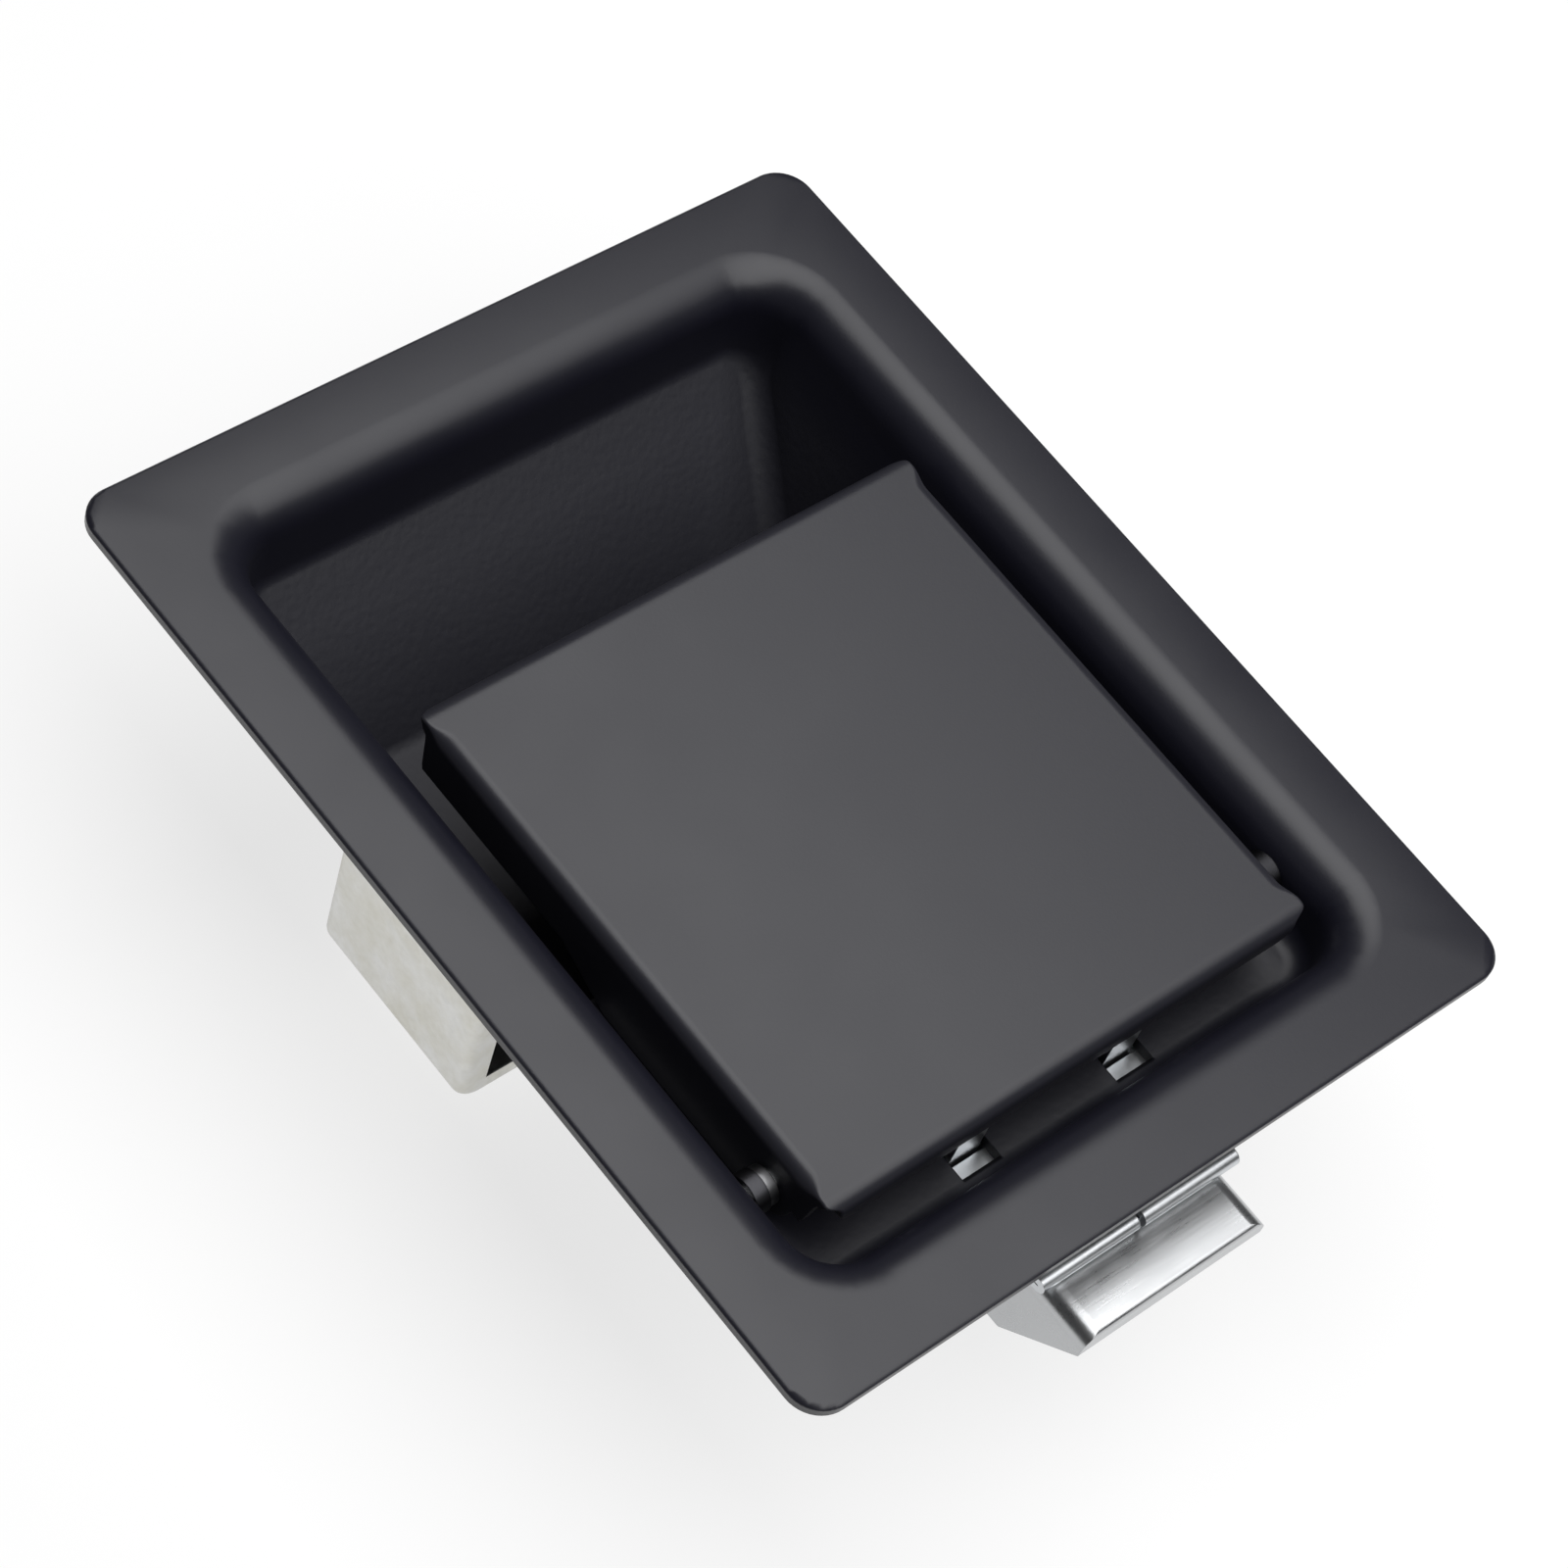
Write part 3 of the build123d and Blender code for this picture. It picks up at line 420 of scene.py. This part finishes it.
def side_skirt_drop(y):
    """How far a side skirt hangs down: round at the pin, deep by the shelf, shallow in front."""
    if y < pin_y:
        round_part = pivot_radius ** 2 - (pin_y - y) ** 2
        return max(rear_skirt, cover_z - pin_z + math.sqrt(max(round_part, 0)))
    rise = min(max((y - rise_start_y) / rise_run, 0.0), 1.0)
    return (cover_z - paddle_low[2]) * (1 - rise) + front_skirt * rise


def outline():
    """Places (y, z), outward directions and a corner rounding, from rear skirt to front skirt."""
    places = []
    for end_y, way, fold, skirt in ((rear_y, -1, rear_fold, rear_skirt),
                                    (front_y, 1, front_fold, front_skirt)):
        end = []
        for step in range(skirt_steps):
            share = 1 - step / skirt_steps
            cut = ear_cut * (2 - math.sqrt(1 - share ** 2))
            end.append((end_y, cover_z - fold - (skirt - fold) * share, (way, 0), cut))
        for step in range(fold_steps):
            turn = math.radians(90 * (1 - step / fold_steps))
            away, up = math.sin(turn), math.cos(turn)
            place = (end_y - way * fold * (1 - away), cover_z - fold * (1 - up))
            end.append((*place, (way * away, up), ear_cut * smooth_step(away, 0.3, 1) ** 2))
        places.append(end)
    first_y, last_y = rear_y + rear_fold, front_y - front_fold
    run = last_y - first_y
    flat = [(first_y + run * step / cover_steps, cover_z, (0, 1), 0) for step in range(cover_steps + 1)]
    return places[0] + flat + places[1][::-1]


def row_points(y, z, outward, cut):
    """One row across the paddle, outside and then back inside."""
    from_fold = min(y - rear_y - rear_fold, front_y - front_fold - y)
    grown = smooth_step(from_fold, 0, fold_fade)
    hanging = smooth_step(from_fold, skirt_from, skirt_full)
    fold = smallest_fold + (side_fold - smallest_fold) * grown
    inner = max(fold - sheet, smallest_inner_fold)
    shortest = sheet + 2 * smallest_inner_fold
    drop = max(shortest + (side_skirt_drop(y) - shortest) * hanging, fold + smallest_inner_fold)
    quarter = [math.radians(90) * step / side_fold_steps for step in range(side_fold_steps + 1)]
    outside = [(fold * (math.sin(a) - 1), fold * (1 - math.cos(a))) for a in quarter]
    inside = [(inner * (math.sin(a) - 1) - sheet, sheet + inner * (1 - math.cos(a))) for a in quarter]
    outside.append((0, drop))
    inside.append((-sheet, drop))
    across = [(-half_width + cut - reach, down) for reach, down in reversed(outside)]
    across += [(half_width - cut + reach, down) for reach, down in outside]
    across += [(half_width - cut + reach, down) for reach, down in reversed(inside)]
    across += [(-half_width + cut - reach, down) for reach, down in inside]
    return [(x, y - outward[0] * down, z - outward[1] * down) for x, down in across]


rows = [row_points(*place) for place in outline()]
row_length = len(rows[0])
faces = []
for index in range(len(rows) - 1):
    here, there = index * row_length, (index + 1) * row_length
    for step in range(row_length):
        after = (step + 1) % row_length
        faces.append((here + step, here + after, there + after, there + step))
faces.append(tuple(range(row_length))[::-1])
faces.append(tuple(range((len(rows) - 1) * row_length, len(rows) * row_length)))
cover_mesh = bpy.data.meshes.new("pressed_paddle")
cover_mesh.from_pydata([point for row in rows for point in row], [], faces)
pressed_paddle = bpy.data.objects.new("pressed_paddle", cover_mesh)
bpy.context.scene.collection.objects.link(pressed_paddle)
print("paddle:", len(faces), "faces from", len(rows), "rows")

# %% Drill the paddle for its pin
pin_hole_radius = 1.65 * mm
pin_hole_sides = 48
drill_length = 80 * mm
lying = Matrix.Translation((0, pin_y, pin_z)) @ Matrix.Rotation(math.radians(90), 4, "Y")
drill_mesh = bpy.data.meshes.new("drill")
drill_shape = bmesh.new()
bmesh.ops.create_cone(
    drill_shape, cap_ends=True, segments=pin_hole_sides, radius1=pin_hole_radius,
    radius2=pin_hole_radius, depth=drill_length, matrix=lying,
)
drill_shape.to_mesh(drill_mesh)
drill_shape.free()
drill = bpy.data.objects.new("drill", drill_mesh)
bpy.context.scene.collection.objects.link(drill)
drilled = pressed_paddle.modifiers.new("pin hole", "BOOLEAN")
drilled.object = drill
drilled.solver = "EXACT"
graph = bpy.context.evaluated_depsgraph_get()
drilled_mesh = bpy.data.meshes.new_from_object(pressed_paddle.evaluated_get(graph))
pressed_paddle.modifiers.clear()
pressed_paddle.data = drilled_mesh
bpy.data.objects.remove(drill)
turned = bmesh.new()
turned.from_mesh(drilled_mesh)
bmesh.ops.recalc_face_normals(turned, faces=turned.faces)
open_edges = sum(not edge.is_manifold for edge in turned.edges)
print("paddle: open edges", open_edges, "volume", round(turned.calc_volume() / mm ** 3), "cubic mm")
turned.to_mesh(drilled_mesh)
turned.free()
smooth_like_sheet(pressed_paddle)
pressed_paddle.data.materials.clear()
pressed_paddle.data.materials.append(paddle_coat)
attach(pressed_paddle, "paddle")
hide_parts("paddle")
print("paddle:", len(drilled_mesh.polygons), "faces after drilling")

# %% [markdown]
# ## The springs
# All three springs are wound from round wire. The paddle's spring lies round the hinge pin. Only
# its coil is drawn: its two arms are left out, because one of them would have to turn with the
# cover. The bolt's springs stand on their rods between the bolt and the guide's rear wall, at the
# length they have at rest; they don't shorten when the bolt moves.

# %% Wind the springs
steps_in_a_turn = 32
paddle_wire, paddle_turns = 1.0 * mm, 3.5
bolt_wire, bolt_turns = 0.9 * mm, 9


def wind_spring(node_name, axis, wire, turns):
    """A helix of round wire in the place of a frame spring, along one axis (0 is X, 1 is Y)."""
    low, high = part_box(node_name)
    across = 1 - axis
    radius = (high[2] - low[2] - wire) / 2
    middle = [(start + end) / 2 for start, end in zip(low, high)]
    if node_name == "paddle_spring":
        middle[1], middle[2] = pin_y, pin_z
    length = high[axis] - low[axis] - wire
    steps = round(steps_in_a_turn * turns)
    path = bpy.data.curves.new(node_name + "_wire", "CURVE")
    path.dimensions = "3D"
    path.bevel_depth = wire / 2
    path.bevel_resolution = 2
    path.use_fill_caps = True
    spline = path.splines.new("POLY")
    spline.points.add(steps)
    for step, point in enumerate(spline.points):
        turn = 2 * math.pi * turns * step / steps
        place = [0, 0, middle[2] + radius * math.cos(turn)]
        place[axis] = middle[axis] + length * (step / steps - 0.5)
        place[across] = middle[across] + radius * math.sin(turn)
        point.co = (*place, 1)
    drawn = bpy.data.objects.new("drawn", path)
    bpy.context.scene.collection.objects.link(drawn)
    graph = bpy.context.evaluated_depsgraph_get()
    mesh = bpy.data.meshes.new_from_object(drawn.evaluated_get(graph))
    bpy.data.objects.remove(drawn)
    mesh.shade_smooth()
    mesh.materials.clear()
    mesh.materials.append(wire_steel)
    spring = bpy.data.objects.new(node_name + "_wire", mesh)
    bpy.context.scene.collection.objects.link(spring)
    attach(spring, "housing")
    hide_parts(node_name)
    print(spring.name, len(mesh.polygons), "faces")


wind_spring("paddle_spring", 0, paddle_wire, paddle_turns)
for side in ("left", "right"):
    wind_spring("bolt_spring_" + side, 1, bolt_wire, bolt_turns)

# %% [markdown]
# ## The studio
# A white table, a dim grey room and one large softbox that hangs level over the latch, a little
# to its right, so that its reflection lies on the flat faces and leaves the upright walls dark.
# The paper also glows, but only as the camera and reflections see it, so that the table stays
# white and still takes the latch's shadow.

# %% Lay the table
floor_gap = 0.5 * mm
floor_z = cad_box[0][2] - floor_gap
floor_half = 4.0
paper_glow = 0.75           # share of the table that is white whatever falls on it
floor_mesh = bpy.data.meshes.new("floor")
floor_mesh.from_pydata(
    [(-floor_half, -floor_half, floor_z), (floor_half, -floor_half, floor_z),
     (floor_half, floor_half, floor_z), (-floor_half, floor_half, floor_z)],
    [], [(0, 1, 2, 3)],
)
floor = bpy.data.objects.new("floor", floor_mesh)
bpy.context.scene.collection.objects.link(floor)
paper = Finish("white paper", Roughness=0.9, Specular_IOR_Level=0.0, Base_Color=(0.97, 0.97, 0.97, 1))
glow = paper.node("ShaderNodeEmission", {}, {"Color": (1, 1, 1, 1), "Strength": 1.0})["Emission"]
seen = paper.node("ShaderNodeLightPath")
straight = seen["Is Camera Ray"] + seen["Is Glossy Ray"] + seen["Is Transmission Ray"]
lit_paper = Wire(paper, paper.shader.outputs["BSDF"])
both = {0: straight * paper_glow, 1: lit_paper, 2: glow}
mixed = paper.node("ShaderNodeMixShader", {}, both)["Shader"]
paper.tree.links.new(mixed.socket, paper.tree.nodes["Material Output"].inputs["Surface"])
floor_mesh.materials.append(paper.material)
print("floor at", round(floor_z, 4))

# %% Hang the softbox
room_level = 0.06
softbox_level = 3.1         # radiance, where a white floor under a full sky of 1 shows as 1
softbox_width, softbox_depth = 0.5, 1.0
softbox_centre = Vector((0.085, -0.13, 0.46))

world = bpy.data.worlds.new("studio")
bpy.context.scene.world = world
world.use_nodes = True
world.node_tree.nodes["Background"].inputs["Strength"].default_value = room_level
world.node_tree.nodes["Background"].inputs["Color"].default_value = (1, 1, 1, 1)

softbox_data = bpy.data.lights.new("softbox", "AREA")
softbox_data.shape = "RECTANGLE"
softbox_data.size = softbox_width
softbox_data.size_y = softbox_depth
softbox_data.energy = softbox_level * math.pi * softbox_width * softbox_depth
softbox = bpy.data.objects.new("softbox", softbox_data)
bpy.context.scene.collection.objects.link(softbox)
softbox.location = softbox_centre
softbox.visible_camera = False
bpy.context.scene.view_settings.view_transform = "Standard"
print("softbox gives", round(softbox_data.energy, 2), "W")
